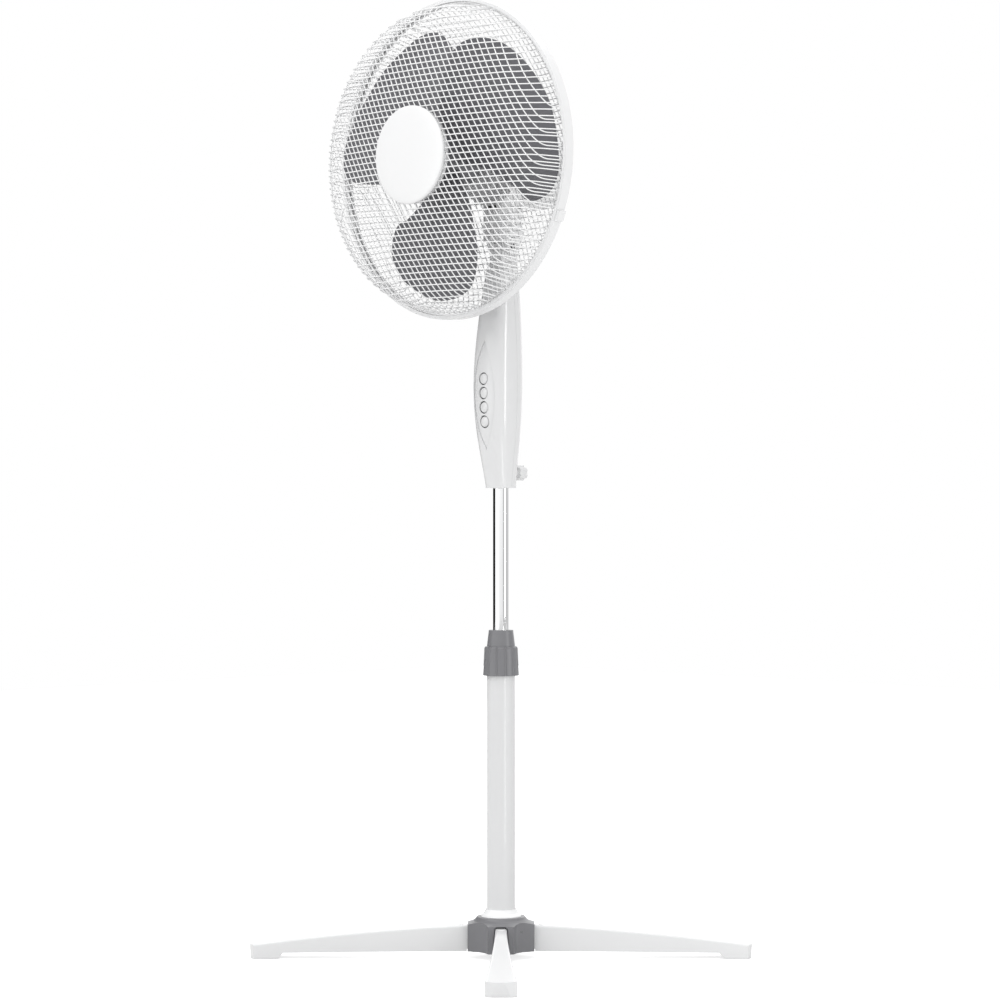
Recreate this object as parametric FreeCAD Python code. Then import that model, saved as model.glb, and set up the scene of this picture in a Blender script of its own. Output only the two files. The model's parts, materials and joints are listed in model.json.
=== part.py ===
import FreeCAD, Part
import math
import os
from FreeCAD import Vector

# Pedestal fan, millimetres. Origin on the floor under the pole, +Z up.
# The fan blows towards -Y. "Front distance" below is measured from the pole
# towards the front, so a point at front distance d has y = -d.

# ---- driving dimensions -------------------------------------------------
# legs and hub
LEG_REACH = 328.0            # pole axis to leg tip
LEG_ROOT = 26.0              # inner end of a leg, inside the hub
LEG_TOP_ROOT = 43.6          # height of a leg's top where it leaves the hub
LEG_TOP_TIP = 18.3
LEG_UNDER_ROOT = 9.0         # height of a leg's open underside
LEG_UNDER_TIP = 8.0
LEG_HALF_ROOT = 7.6          # half widths of a leg seen from above
LEG_HALF_MID = 12.0
LEG_HALF_TIP = 19.7
LEG_WALL = 2.5
LEG_EDGE = 2.4               # rounding along the top edges
FOOT_START = 290.0           # where the foot steps down to the floor
FOOT_UNDER = 0.5
PAD_RADIUS = 10.5
PAD_CENTRE = 309.0
HUB_FLAT = 43.5              # pole axis to each flat of the hub
HUB_FLAT_HALF = 17.0
HUB_WAIST = 37.0             # pole axis to the scooped sides
HUB_BOTTOM = 9.8
HUB_SHOULDER = 44.9          # dome height above the ends of the flats
HUB_TOP = 53.8
HUB_TOP_RADIUS = 31.6
PLATE_TOP = 11.8             # steel plate that closes the hub's underside

# column
TUBE_RADIUS = 18.4
TUBE_WALL = 1.2
TUBE_BOTTOM = 14.0
TUBE_TOP = 398.0
POLE_RADIUS = 10.5
POLE_WALL = 1.0
POLE_BOTTOM = 300.0
POLE_TOP = 665.0
NUT_BOTTOM = 368.4
NUT_SHOULDER = 405.9
NUT_TOP = 427.5
NUT_FLUTES = 12

# control body: height, half width, front distance of the section's centre
BODY_SECTIONS = [
    (613.0, 17.6, 0.0),
    (663.0, 22.9, 3.4),
    (700.0, 26.6, 5.1),
    (763.0, 28.2, 5.4),
    (842.0, 24.0, 1.6),
    (905.0, 16.6, -1.8),
]
BODY_POWER = 3.0             # superellipse exponent of every section
BODY_WALL = 2.5
BODY_SPLIT_Y = 2.0           # parting plane between front and rear shells
PANEL_LOW = 663.0
PANEL_HIGH = 804.0
PANEL_HALF = 18.5
PANEL_SINK = 1.3             # panel face below the shell's surface
BUTTON_HEIGHTS = {"off": 755.0, "low": 736.4, "medium": 717.8, "high": 699.2}
BUTTON_RADIUS = 7.75
BUTTON_PROUD = 1.4
CLAMP_Z = 633.0
CLAMP_HEAD_START = 27.0
CLAMP_HEAD_END = 40.0
SHELL_SCREWS = [(x, z) for z in (673.0, 830.0) for x in (-13.0, 13.0)]

# tilt and swivel
PIVOT_Y = 5.0
PIVOT_Z = 928.5
PIVOT_RADIUS = 3.0
TONGUE_HALF = 11.5
TONGUE_RADIUS = 14.0
NECK_RADIUS = 26.0
NECK_TOP = 977.0
SWIVEL_PIN_RADIUS = 8.0
LINK_ARM = 16.0              # swivel axis to the link's pin on the neck

# head
AXIS_Z = 1035.5              # height of the motor shaft
HOUSING_RADIUS = 55.0
HOUSING_WALL = 2.5
HOUSING_FRONT = 17.0
HOUSING_PLATE = 4.0          # thickness of the housing's front plate
HOUSING_STRAIGHT_END = -74.0
HOUSING_SCREW_RADIUS = 46.0  # motor shaft to each housing screw
HOUSING_REAR = -95.0
STATOR_RADIUS = 34.0
STATOR_FRONT = 2.0
STATOR_REAR = -30.0
SHAFT_RADIUS = 4.0
RUNNING = 0.05               # radial clearance of a shaft in its bearing
GEAR_X = 16.0                # upright gear shaft beside the motor shaft
GEAR_D = -58.0
CRANK_THROW = 12.0
LINK_BOTTOM = 994.5
LINK_TOP = 997.0

# guards, impeller and cap
GUARD_SKIN = 1.6
GUARD_BARS = 24              # full-diameter bars, so twice as many spokes
GUARD_BAR_WIDTH = 2.4
RING_RADIUS = 206.0
RING_REAR = 79.0
RING_FRONT = 93.0
CAP_RADIUS = 62.5
CAP_BACK = 161.8
CAP_FRONT = 166.2
BLADES = 3
BLADE_CENTRE = 17.3          # degrees from +X of the first blade, at rest
BLADE_RADIUS = 185.0
BLADE_MIDDLE = 96.1          # front distance at the centre angle, extrapolated to the axis
BLADE_LEAD = 29.8            # front distance gained per radian at 0.7 of the radius
BLADE_WASH = 42.0            # gain of that lead from the axis to the full radius
BLADE_SWEEP = 49.0           # half the blade's spread in degrees
BLADE_SKIN = 2.4
IMPELLER_HUB = 33.0


# ---- helpers ---------------------------------------------------------------
def upright(radius, low, high, x=0.0, y=0.0):
    return Part.makeCylinder(radius, high - low, Vector(x, y, low))


def along_axis(radius, rear, front, x=0.0, z=AXIS_Z):
    """Cylinder parallel to the motor shaft, between two front distances."""
    return Part.makeCylinder(radius, front - rear, Vector(x, -rear, z), Vector(0, -1, 0))


def crosswise(radius, low, high, y, z):
    return Part.makeCylinder(radius, high - low, Vector(low, y, z), Vector(1, 0, 0))


def block(x_range, y_range, z_range):
    corner = Vector(x_range[0], y_range[0], z_range[0])
    size = [b - a for a, b in (x_range, y_range, z_range)]
    return Part.makeBox(size[0], size[1], size[2], corner)


def pipe(outer, inner, low, high, x=0.0, y=0.0):
    return upright(outer, low, high, x, y).cut(upright(inner, low - 1, high + 1, x, y))


def sleeve(outer, inner, rear, front, x=0.0, z=AXIS_Z):
    return along_axis(outer, rear, front, x, z).cut(along_axis(inner, rear - 1, front + 1, x, z))


def fuse_all(shapes):
    joined = shapes[0]
    if len(shapes) > 1:
        joined = shapes[0].multiFuse(shapes[1:])
    return joined.removeSplitter()


def turned(shape, degrees):
    copy = shape.copy()
    copy.rotate(Vector(0, 0, 0), Vector(0, 0, 1), degrees)
    return copy


def spun(shape, degrees):
    """Copy turned about the motor shaft, anticlockwise seen from the front."""
    copy = shape.copy()
    copy.rotate(Vector(0, 0, AXIS_Z), Vector(0, -1, 0), degrees)
    return copy


def lathe_upright(points):
    """Solid of revolution about the pole from (radius, height) points."""
    outline = Part.makePolygon([Vector(r, 0, z) for r, z in points + points[:1]])
    return Part.Face(outline).revolve(Vector(0, 0, 0), Vector(0, 0, 1), 360)


def lathe_shaft(points):
    """Solid of revolution about the motor shaft from (radius, front distance) points."""
    outline = Part.makePolygon([Vector(r, -d, AXIS_Z) for r, d in points + points[:1]])
    return Part.Face(outline).revolve(Vector(0, 0, AXIS_Z), Vector(0, -1, 0), 360)


def save(name, shape):
    os.makedirs("parts", exist_ok=True)
    shape.exportStep("parts/" + name + ".step")


# ---- stand -----------------------------------------------------------------
def leg_side(inset):
    """Side view of a leg as a face in the XZ plane, shrunk by inset."""
    root = LEG_ROOT if inset == 0 else 58.0
    tip = LEG_REACH - inset if inset == 0 else FOOT_START + 2.0
    fall = (LEG_TOP_ROOT - LEG_TOP_TIP) / (LEG_REACH - LEG_ROOT)

    def top(reach, bulge):
        return Vector(reach, 0, LEG_TOP_ROOT - fall * (reach - LEG_ROOT) + bulge - inset)

    middle = (root + tip) / 2
    top_edge = Part.Arc(top(root, 0.0), top(middle, 3.4), top(tip, 0.0)).toShape()
    if inset == 0:
        low = [Vector(LEG_REACH - 2.0, 0, FOOT_UNDER), Vector(FOOT_START, 0, FOOT_UNDER),
               Vector(FOOT_START - 6.0, 0, LEG_UNDER_TIP), Vector(LEG_ROOT, 0, LEG_UNDER_ROOT)]
    else:
        low = [Vector(tip, 0, -5.0), Vector(root, 0, -5.0)]
    path = [top(tip, 0.0)] + low + [top(root, 0.0)]
    return Part.Face(Part.Wire([top_edge] + Part.makePolygon(path).Edges))


def leg_plan(inset):
    """Plan view of a leg as a face in the XY plane, shrunk by inset."""
    halves = [LEG_HALF_ROOT - inset, LEG_HALF_MID - inset, LEG_HALF_TIP - inset]
    reaches = [44.0, 198.0, 322.0]
    edges = []
    for side in (1, -1):
        points = [Vector(x, side * y, 0) for x, y in zip(reaches, halves)]
        edges.append(Part.Arc(points[0], points[1], points[2]).toShape())
        edges.append(Part.makeLine(Vector(LEG_ROOT, side * halves[0], 0), points[0]))
    tip = Part.Arc(Vector(322.0, halves[2], 0), Vector(LEG_REACH - inset, 0, 0),
                   Vector(322.0, -halves[2], 0)).toShape()
    root = Part.makeLine(Vector(LEG_ROOT, halves[0], 0), Vector(LEG_ROOT, -halves[0], 0))
    return Part.Face(Part.Wire(Part.__sortEdges__(edges + [tip, root])))


def leg_solid(inset):
    side = leg_side(inset)
    side.translate(Vector(0, -30, 0))
    plan = leg_plan(inset)
    plan.translate(Vector(0, 0, -10))
    return side.extrude(Vector(0, 60, 0)).common(plan.extrude(Vector(0, 0, 80)))


def round_top(shape, radius):
    """Round the long edges between a leg's top and its sides."""
    long_edges = [e for e in shape.Edges if e.CenterOfMass.z > LEG_TOP_TIP - 1
                  and abs(e.CenterOfMass.y) > LEG_HALF_ROOT - 1 and e.BoundBox.XLength > 15]
    return shape.makeFillet(radius, long_edges)


def leg(angle):
    """Moulded channel, open below, with a solid root, a solid foot and cross ribs."""
    hollow = leg_solid(LEG_WALL)
    ribs = [block((x, x + 1.8), (-25, 25), (LEG_UNDER_ROOT, 60)) for x in (110.0, 170.0, 230.0)]
    shape = round_top(leg_solid(0), LEG_EDGE).cut(hollow.cut(Part.makeCompound(ribs)))
    shape = shape.cut(upright(PAD_RADIUS + 0.1, -1, 4.0, PAD_CENTRE))
    shape = shape.cut(upright(2.6, 0, 24.0, 34.0))
    shape = shape.cut(block((20, HUB_FLAT + 1.2), (-25, 25), (0, PLATE_TOP + 0.1)))
    latch = block((50, 54), (-4.5, 4.5), (LEG_TOP_ROOT - 3, LEG_TOP_ROOT - 0.4))
    return turned(fuse_all([shape, latch]), angle)


def foot_pads():
    pad = upright(PAD_RADIUS, 0, 4.0, PAD_CENTRE)
    return Part.makeCompound([turned(pad, 45 + 90 * i) for i in range(4)])


def hub_outline(scale):
    """Four flats joined by concave arcs, one flat across each leg."""
    edges = []
    flat = HUB_FLAT * scale
    half = HUB_FLAT_HALF * scale
    waist = HUB_WAIST * scale * math.sqrt(0.5)
    for i in range(4):
        sides = [Part.makeLine(Vector(flat, -half, 0), Vector(flat, half, 0)),
                 Part.Arc(Vector(flat, half, 0), Vector(waist, waist, 0), Vector(half, flat, 0)).toShape()]
        for edge in sides:
            edge.rotate(Vector(0, 0, 0), Vector(0, 0, 1), 45 + 90 * i)
            edges.append(edge)
    return Part.Face(Part.Wire(Part.__sortEdges__(edges)))


def leg_arch(low, high, bottom_half, top_half):
    """Tapered prism with a rounded top that clears a leg in the hub's wall."""
    corner = top_half * 0.3
    points = [Vector(20, -bottom_half, low), Vector(20, bottom_half, low),
              Vector(20, top_half, high - corner), Vector(20, top_half - corner, high),
              Vector(20, corner - top_half, high), Vector(20, -top_half, high - corner)]
    return Part.Face(Part.makePolygon(points + points[:1])).extrude(Vector(40, 0, 0))


def base_hub():
    """Hollow cover over the leg roots, with a tall arch for each leg."""
    outline = hub_outline(1.0)
    outline.translate(Vector(0, 0, HUB_BOTTOM))
    dome = lathe_upright([(0, 0), (70, 0), (70, HUB_SHOULDER - 6.0), (HUB_FLAT + 3, HUB_SHOULDER),
                          (40.6, HUB_SHOULDER + 1.7), (36.4, HUB_SHOULDER + 3.5),
                          (33.4, HUB_SHOULDER + 5.9), (HUB_TOP_RADIUS, HUB_TOP - 0.3),
                          (HUB_TOP_RADIUS - 0.9, HUB_TOP), (0, HUB_TOP)])
    shape = outline.extrude(Vector(0, 0, 60)).common(dome)
    hollow = hub_outline(0.94)
    shape = shape.cut(hollow.extrude(Vector(0, 0, HUB_SHOULDER - 2.2)))
    arch = leg_arch(0, LEG_TOP_ROOT + 1.2, 12.2, LEG_HALF_ROOT + 0.9)
    shape = shape.cut(Part.makeCompound([turned(arch, 45 + 90 * i) for i in range(4)]))
    return shape.cut(upright(TUBE_RADIUS + 0.1, 0, 70))


def base_plate():
    """Steel plate under the leg roots."""
    outline = hub_outline(0.93)
    outline.translate(Vector(0, 0, HUB_BOTTOM))
    plate = outline.extrude(Vector(0, 0, PLATE_TOP - HUB_BOTTOM))
    holes = [turned(upright(2.6, 0, 20, 34.0), 45 + 90 * i) for i in range(4)]
    return plate.cut(Part.makeCompound(holes))


def base_screws():
    """Four screws that clamp the legs between plate and tube socket."""
    screw = fuse_all([upright(2.4, HUB_BOTTOM - 0.5, 22.0, 34.0),
                      upright(4.6, HUB_BOTTOM - 2.6, HUB_BOTTOM - 0.1, 34.0)])
    return Part.makeCompound([turned(screw, 45 + 90 * i) for i in range(4)])


def tube_socket():
    """Steel cup on the base plate that the outer tube is pressed into."""
    cup = pipe(TUBE_RADIUS + 2.6, TUBE_RADIUS + 0.02, PLATE_TOP + 0.1, 38.0)
    return fuse_all([cup, upright(TUBE_RADIUS + 2.6, PLATE_TOP + 0.1, TUBE_BOTTOM - 0.1)])


def base_trim_ring():
    """Flared collar that hides the joint of tube and hub."""
    inner = TUBE_RADIUS + 0.15
    points = [(inner, HUB_TOP + 0.1), (26.8, HUB_TOP + 0.1), (26.2, HUB_TOP + 1.8), (22.4, HUB_TOP + 4.6),
              (20.2, HUB_TOP + 8.6), (19.9, HUB_TOP + 10.0), (inner, HUB_TOP + 10.0)]
    return lathe_upright(points)


def outer_tube():
    return pipe(TUBE_RADIUS, TUBE_RADIUS - TUBE_WALL, TUBE_BOTTOM, TUBE_TOP)


def tube_collet():
    """Split sleeve in the tube's mouth that the lock nut squeezes onto the pole."""
    inner = POLE_RADIUS + 0.08
    mouth = TUBE_RADIUS - TUBE_WALL - 0.05
    shape = lathe_upright([(inner, 352.0), (mouth, 352.0), (mouth, TUBE_TOP + 0.1),
                           (TUBE_RADIUS, TUBE_TOP + 0.1), (TUBE_RADIUS, 401.5), (14.2, 401.5),
                           (12.4, 422.0), (inner, 422.0)])
    slots = [block((0, 30), (-0.8, 0.8), (404.0, 425.0)) for _ in range(4)]
    return shape.cut(Part.makeCompound([turned(s, 90 * i) for i, s in enumerate(slots)]))


def height_lock_nut():
    """Fluted skirt with a smooth cone above it."""
    skirt_in = TUBE_RADIUS + 0.4
    cone_in = POLE_RADIUS + 0.4
    shape = lathe_upright([(skirt_in, NUT_BOTTOM), (23.5, NUT_BOTTOM), (21.7, NUT_SHOULDER - 1.6),
                           (20.6, NUT_SHOULDER), (18.4, NUT_SHOULDER + 0.6), (15.9, NUT_TOP),
                           (cone_in, NUT_TOP), (cone_in, 423.5), (13.0, 422.6), (14.9, 402.2),
                           (skirt_in, 402.2)])
    flute = Part.makeCylinder(2.4, 60, Vector(24.9, 0, NUT_BOTTOM - 5), Vector(-1.8, 0, 37.5))
    flutes = [turned(flute, 360.0 / NUT_FLUTES * i) for i in range(NUT_FLUTES)]
    skirt_zone = upright(40, NUT_BOTTOM - 6, NUT_SHOULDER)
    return shape.cut(Part.makeCompound(flutes).common(skirt_zone))


# ---- column ------------------------------------------------------------------
def pole_guide_bush():
    """Plastic bush on the pole's foot that runs inside the outer tube."""
    outer = TUBE_RADIUS - TUBE_WALL - 0.08
    cup = pipe(outer, POLE_RADIUS + RUNNING, POLE_BOTTOM - 1.9, POLE_BOTTOM + 24)
    return fuse_all([cup, pipe(outer, 5.0, POLE_BOTTOM - 6, POLE_BOTTOM - 1.9)])


def inner_pole():
    return pipe(POLE_RADIUS, POLE_RADIUS - POLE_WALL, POLE_BOTTOM, POLE_TOP)


def section_wire(height, half, centre, inset):
    """Closed spline through a superellipse in a horizontal plane."""
    points = []
    size = half - inset
    for i in range(32):
        angle = 2 * math.pi * i / 32
        across = math.copysign(abs(math.cos(angle)) ** (2 / BODY_POWER), math.cos(angle))
        deep = math.copysign(abs(math.sin(angle)) ** (2 / BODY_POWER), math.sin(angle))
        points.append(Vector(size * across, -centre + size * deep, height))
    spline = Part.BSplineCurve()
    spline.interpolate(points, PeriodicFlag=True)
    return Part.Wire(spline.toShape())


def body_loft(inset):
    return Part.makeLoft([section_wire(z, half, centre, inset) for z, half, centre in BODY_SECTIONS], True)


def tongue(half, radius):
    """Rounded upright tab about the tilt pivot that carries the head."""
    eye = crosswise(radius, -half, half, PIVOT_Y, PIVOT_Z)
    stem = block((-half, half), (PIVOT_Y - radius, PIVOT_Y + radius), (895.0, PIVOT_Z))
    return fuse_all([eye, stem])


def panel_leaf(grow):
    """Pointed oval prism, wider by grow, running from the front inwards."""
    half = PANEL_HALF + grow
    rise = (PANEL_HIGH - PANEL_LOW) / 2 + grow
    middle = (PANEL_HIGH + PANEL_LOW) / 2
    low = Vector(0, -60, middle - rise)
    high = Vector(0, -60, middle + rise)
    right = Part.Arc(low, Vector(half, -60, middle), high).toShape()
    left = Part.Arc(high, Vector(-half, -60, middle), low).toShape()
    return Part.Face(Part.Wire([right, left])).extrude(Vector(0, 56, 0))


def control_body():
    """Closed hollow body before it is parted into two shells."""
    outer = fuse_all([body_loft(0), tongue(TONGUE_HALF, TONGUE_RADIUS)])
    room = block((-60, 60), (-60, 60), (BODY_SECTIONS[0][0] + 3, BODY_SECTIONS[-1][0] - 2))
    hollow = body_loft(BODY_WALL).common(room)
    hollow_tongue = tongue(TONGUE_HALF - BODY_WALL, TONGUE_RADIUS - BODY_WALL)
    shape = outer.cut(hollow).cut(hollow_tongue)
    shape = shape.cut(upright(POLE_RADIUS + 0.1, 600, 620))
    return shape.cut(crosswise(PIVOT_RADIUS + 0.3, -30, 30, PIVOT_Y, PIVOT_Z))


def screw_bosses(radius, y_range):
    low, high = y_range
    return [Part.makeCylinder(radius, high - low, Vector(x, low, z), Vector(0, 1, 0))
            for x, z in SHELL_SCREWS]


def control_front_shell(body):
    shape = body.common(block((-60, 60), (-60, BODY_SPLIT_Y - 0.05), (600, 960)))
    shape = shape.cut(panel_leaf(0.2))
    bosses = Part.makeCompound(screw_bosses(3.4, (-24, BODY_SPLIT_Y - 0.05))).common(body_loft(1.0))
    shape = fuse_all([shape] + bosses.Solids)
    return shape.cut(Part.makeCompound(screw_bosses(1.9, (-14, 10))))


def control_rear_shell(body):
    shape = body.common(block((-60, 60), (BODY_SPLIT_Y + 0.05, 60), (600, 960)))
    bosses = Part.makeCompound(screw_bosses(3.4, (BODY_SPLIT_Y + 0.05, 40))).common(body_loft(1.0))
    shape = fuse_all([shape] + bosses.Solids)
    shape = shape.cut(Part.makeCompound(screw_bosses(1.9, (0, 40)) + screw_bosses(3.0, (12.0, 40))))
    shape = shape.cut(Part.makeCylinder(3.3, 40, Vector(0, 12, CLAMP_Z), Vector(0, 1, 0)))
    return shape.cut(Part.makeCylinder(4.5, 40, Vector(0, 8, 690), Vector(0, 1, 0)))


def shell_screws():
    screws = []
    for x, z in SHELL_SCREWS:
        shank = Part.makeCylinder(1.8, 25, Vector(x, -12.9, z), Vector(0, 1, 0))
        head = Part.makeCylinder(2.9, 2.0, Vector(x, 12.1, z), Vector(0, 1, 0))
        screws.append(fuse_all([shank, head]))
    return Part.makeCompound(screws)


def body_front(height):
    """Front distance of the control body's face at a height."""
    for low, high in zip(BODY_SECTIONS[:-1], BODY_SECTIONS[1:]):
        if low[0] <= height <= high[0]:
            share = (height - low[0]) / (high[0] - low[0])
            return low[1] + low[2] + share * (high[1] + high[2] - low[1] - low[2])
    raise ValueError("height is off the control body")


def button_panel():
    """Curved leaf-shaped plate with a hole for each button."""
    skin = body_loft(PANEL_SINK).cut(body_loft(PANEL_SINK + 2.4))
    plate = skin.common(panel_leaf(0))
    holes = [Part.makeCylinder(BUTTON_RADIUS + 0.4, 60, Vector(0, -60, z), Vector(0, 1, 0))
             for z in BUTTON_HEIGHTS.values()]
    return plate.cut(Part.makeCompound(holes))


def button(height):
    face = body_front(height) - PANEL_SINK + BUTTON_PROUD
    cap = along_axis(BUTTON_RADIUS, face - 7.0, face, 0, height)
    cap = cap.makeFillet(0.9, [e for e in cap.Edges if abs(e.BoundBox.YMin + face) < 0.01
                               and abs(e.BoundBox.YMax + face) < 0.01])
    stem = block((-2.5, 2.5), (7.0 - face, -19.6), (height - 2.5, height + 2.5))
    return fuse_all([cap, stem])


def switch_block():
    """Ganged push switch behind the four buttons."""
    case = block((-12, 12), (-15, -2), (688.0, 766.0))
    return case.cut(block((-10, 10), (-16, -13.5), (690.0, 764.0)))


def terminal_block():
    base = block((-10, 10), (-2, 8), (790.0, 812.0))
    holes = [Part.makeCylinder(1.6, 14, Vector(x, -4, 801.0), Vector(0, 1, 0)) for x in (-6.0, 0.0, 6.0)]
    return base.cut(Part.makeCompound(holes))


def pole_head_socket():
    """Plastic block round the pole's top, tapped for the clamp screw."""
    shape = pipe(13.6, POLE_RADIUS + 0.02, 616.1, 667.5)
    shape = fuse_all([shape, upright(13.6, POLE_TOP + 0.1, 668.0)])
    return shape.cut(Part.makeCylinder(3.05, 20, Vector(0, 5, CLAMP_Z), Vector(0, 1, 0)))


def clamp_thumb_screw():
    """Screw with a lobed head that clamps the body to the pole."""
    shank = Part.makeCylinder(3.0, CLAMP_HEAD_START + 1 - 10.7, Vector(0, 10.7, CLAMP_Z), Vector(0, 1, 0))
    neck = Part.makeCylinder(5.0, 7.0, Vector(0, 20.8, CLAMP_Z), Vector(0, 1, 0))
    head = Part.makeCylinder(10.0, CLAMP_HEAD_END - CLAMP_HEAD_START,
                             Vector(0, CLAMP_HEAD_START, CLAMP_Z), Vector(0, 1, 0))
    hollows = []
    for i in range(6):
        angle = math.radians(60 * i)
        spot = Vector(12.0 * math.cos(angle), 20, CLAMP_Z + 12.0 * math.sin(angle))
        hollows.append(Part.makeCylinder(3.6, 40, spot, Vector(0, 1, 0)))
    return fuse_all([shank, neck, head.cut(Part.makeCompound(hollows))])


def cord_inlet_grommet():
    """Rubber bush in the rear shell, where a supply cord would enter."""
    start = 14.0
    body = Part.makeCylinder(4.4, 9.0, Vector(0, start, 690.0), Vector(0, 1, 0))
    flange = Part.makeCylinder(6.4, 2.0, Vector(0, start + 8.0, 690.0), Vector(0, 1, 0))
    bore = Part.makeCylinder(2.6, 20, Vector(0, start - 2, 690.0), Vector(0, 1, 0))
    return fuse_all([body, flange]).cut(bore)


def tilt_base():
    """Steel block inside the tongue that the tilt bolt passes through."""
    eye = crosswise(10.4, -8.6, 8.6, PIVOT_Y, PIVOT_Z)
    stem = block((-8.6, 8.6), (PIVOT_Y - 9.0, PIVOT_Y + 6.0), (868.0, PIVOT_Z))
    bore = crosswise(PIVOT_RADIUS + RUNNING, -20, 20, PIVOT_Y, PIVOT_Z)
    return fuse_all([eye, stem]).cut(bore)


# ---- neck --------------------------------------------------------------------
def tilt_bracket():
    """Hood over the tongue with a cheek on each side and the link's pin on top."""
    drum = upright(NECK_RADIUS, 912.0, NECK_TOP, 0, PIVOT_Y - 1)
    rear = PIVOT_Y + NECK_RADIUS
    front = PIVOT_Y - NECK_RADIUS - 2
    side = [Vector(-40, front, NECK_TOP), Vector(-40, front, 934.0), Vector(-40, PIVOT_Y - 12.5, 934.0),
            Vector(-40, PIVOT_Y - 10.8, PIVOT_Z - 4.0), Vector(-40, PIVOT_Y - 7.0, PIVOT_Z - 9.4),
            Vector(-40, PIVOT_Y, PIVOT_Z - 11.4), Vector(-40, PIVOT_Y + 7.0, PIVOT_Z - 9.4),
            Vector(-40, PIVOT_Y + 11.2, PIVOT_Z - 3.0), Vector(-40, rear, 957.0), Vector(-40, rear, NECK_TOP)]
    side_prism = Part.Face(Part.makePolygon(side + side[:1])).extrude(Vector(80, 0, 0))
    cheek = 16.6
    view = [Vector(-cheek, -60, 910), Vector(cheek, -60, 910), Vector(cheek, -60, 934),
            Vector(NECK_RADIUS, -60, 957), Vector(NECK_RADIUS, -60, NECK_TOP),
            Vector(-NECK_RADIUS, -60, NECK_TOP), Vector(-NECK_RADIUS, -60, 957), Vector(-cheek, -60, 934)]
    view_prism = Part.Face(Part.makePolygon(view + view[:1])).extrude(Vector(0, 120, 0))
    shape = drum.common(side_prism).common(view_prism)
    gap = TONGUE_HALF + 0.5
    slot = fuse_all([crosswise(TONGUE_RADIUS + 1.0, -gap, gap, PIVOT_Y, PIVOT_Z),
                     block((-gap, gap), (-60, 60), (900, 933.0))])
    shape = shape.cut(slot)
    shape = shape.cut(crosswise(PIVOT_RADIUS + 0.02, -30, 30, PIVOT_Y, PIVOT_Z))
    shape = shape.cut(crosswise(4.2, 14.6, 30, PIVOT_Y, PIVOT_Z))
    shape = shape.cut(crosswise(4.2, -30, -14.6, PIVOT_Y, PIVOT_Z))
    shape = shape.cut(upright(SWIVEL_PIN_RADIUS + 0.02, 966.0, 990.0, 0, PIVOT_Y))
    link_pin = upright(2.5, NECK_TOP - 3, LINK_TOP + 1.2, LINK_ARM, PIVOT_Y)
    return fuse_all([shape, link_pin])


def tilt_bolt():
    """Cross bolt of the tilt joint, with a small sunk head each side."""
    shank = crosswise(PIVOT_RADIUS, -14.7, 14.7, PIVOT_Y, PIVOT_Z)
    heads = [crosswise(4.0, 14.7, 16.2, PIVOT_Y, PIVOT_Z), crosswise(4.0, -16.2, -14.7, PIVOT_Y, PIVOT_Z)]
    return fuse_all([shank] + heads)


def swivel_pin():
    """Headed steel post that the motor carrier turns on."""
    post = upright(SWIVEL_PIN_RADIUS, 966.1, 992.4, 0, PIVOT_Y)
    return fuse_all([post, upright(11.0, 992.3, 994.2, 0, PIVOT_Y)])


def swivel_washer():
    return pipe(12.2, SWIVEL_PIN_RADIUS + 0.1, NECK_TOP + 0.02, 981.7, 0, PIVOT_Y)


# ---- head ----------------------------------------------------------------------
def motor_carrier():
    """Cast bracket that joins both end shields to the swivel bore."""
    boss = upright(12.5, 982.0, 992.0, 0, PIVOT_Y)
    arm = block((-12, 6), (-12.0, 41.5), (985.0, 992.0))
    risers = [block((-12, 0), (-12.0, -9.0), (991.0, 1000.4)), block((-12, 0), (38.0, 41.5), (991.0, 1000.4))]
    shape = fuse_all([boss, arm] + risers)
    shape = shape.cut(upright(SWIVEL_PIN_RADIUS + RUNNING, 970, 996, 0, PIVOT_Y))
    shape = shape.cut(upright(11.3, 992.0, 996.0, 0, PIVOT_Y))
    return shape.cut(along_axis(36.02, -50, 20))


def end_shield(rear, front):
    """Round plate with a bearing seat and cooling windows."""
    plate = along_axis(36.0, rear, front).cut(along_axis(9.05, rear - 1, front + 1))
    windows = []
    for i in range(6):
        window = block((14.0, 28.0), (-front - 1, -rear + 1), (AXIS_Z - 4.0, AXIS_Z + 4.0))
        windows.append(spun(window, 60 * i + 30))
    return plate.cut(Part.makeCompound(windows))


def bearing(rear, front):
    return sleeve(9.0, SHAFT_RADIUS + RUNNING, rear, front)


def stator_core():
    """Laminated ring with sixteen open slots towards the rotor."""
    ring = sleeve(STATOR_RADIUS, 20.5, STATOR_REAR, STATOR_FRONT)
    slots = []
    for i in range(16):
        slot = block((19.0, 28.0), (-STATOR_FRONT - 1, -STATOR_REAR + 1), (AXIS_Z - 2.0, AXIS_Z + 2.0))
        slots.append(spun(slot, 22.5 * i))
    return ring.cut(Part.makeCompound(slots))


def stator_windings():
    """Copper end turns at both faces of the core."""
    front = lathe_shaft([(21, STATOR_FRONT + 0.1), (31, STATOR_FRONT + 0.1), (30, 7.2), (23, 7.2)])
    rear = lathe_shaft([(21, STATOR_REAR - 0.1), (31, STATOR_REAR - 0.1), (30, -36.0), (23, -36.0)])
    return Part.makeCompound([front, rear])


def rotor_core():
    return sleeve(20.0, SHAFT_RADIUS, STATOR_REAR, STATOR_FRONT)


def motor_shaft():
    """Shaft with the oscillation worm on its rear end."""
    return fuse_all([along_axis(SHAFT_RADIUS, -71.0, 140.0), along_axis(4.6, -66.0, -50.0)])


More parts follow.
